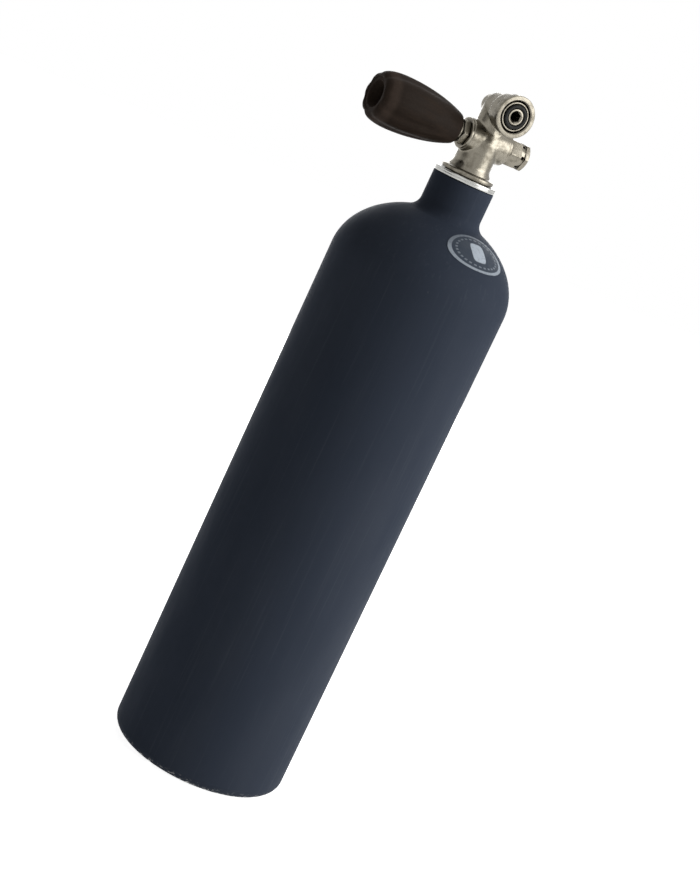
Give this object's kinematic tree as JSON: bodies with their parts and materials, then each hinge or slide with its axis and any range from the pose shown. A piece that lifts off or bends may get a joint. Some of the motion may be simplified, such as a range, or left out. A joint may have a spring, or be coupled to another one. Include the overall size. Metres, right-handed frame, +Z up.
{
  "type": "compressed-air pack",
  "caption": "Compressed-air cylinder with a cross-body valve: a long rubber grip turns the spindle, and an outlet insert screws out opposite the yoke dimple.",
  "frame": {"origin": "centre of the flat base that the cylinder stands on", "axes": "+Z up the cylinder to the valve, -Y out of the valve outlet, -X along the grip, +X along the burst plug"},
  "size_m": [0.1586, 0.1334, 0.5373],
  "materials": {
    "navy_coat": "satin navy powder coat over a seamless aluminium shell",
    "label_film": "printed film sticker, pale grey ring on navy",
    "bright_metal": "machined stainless steel",
    "seal_rubber": "moulded nitrile",
    "plain_brass": "machined, unplated",
    "chrome_plate": "chrome plate over forged brass, lightly worn",
    "copper_foil": "rolled copper",
    "white_plastic": "turned fluoropolymer",
    "black_plastic": "moulded glass-filled nylon",
    "grip_rubber": "moulded soft rubber, brown-black, matte"
  },
  "bodies": {
    "pack": {"cylinder_shell": "navy_coat", "shoulder_label": "label_film", "neck_ring": "bright_metal", "neck_o_ring": "seal_rubber", "dip_tube": "plain_brass", "valve_body": "chrome_plate", "bonnet_nut": "chrome_plate", "stem_o_ring": "seal_rubber", "burst_plug": "chrome_plate", "burst_disc": "copper_foil", "burst_gasket": "white_plastic"},
    "handwheel": {"grip_hub": "black_plastic", "grip_sleeve": "grip_rubber", "grip_spring": "bright_metal", "grip_washer": "bright_metal", "grip_nut": "bright_metal", "spindle": "plain_brass", "thrust_washer": "white_plastic"},
    "seat": {"seat_plug": "plain_brass", "seat_disc": "white_plastic"},
    "insert": {"outlet_insert": "chrome_plate", "outlet_o_ring": "seal_rubber", "insert_rear_o_ring": "seal_rubber"}
  },
  "joints": [
    {"name": "handwheel_turn", "type": "hinge", "parent": "pack", "child": "handwheel", "pos_m": [-0.03, 0, 0.498], "axis": [-1, 0, 0], "range_deg": [0, 900]},
    {"name": "seat_travel", "type": "slide", "parent": "handwheel", "child": "seat", "axis": [-1, 0, 0], "range_m": [0, 0.00313]},
    {"name": "insert_out", "type": "slide", "parent": "pack", "child": "insert", "axis": [0, -1, 0], "range_m": [0, 0.016]}
  ],
  "couplings": [
    {"joint": "seat_travel", "follows": "handwheel_turn", "m_per_rad": 0.00019894}
  ]
}
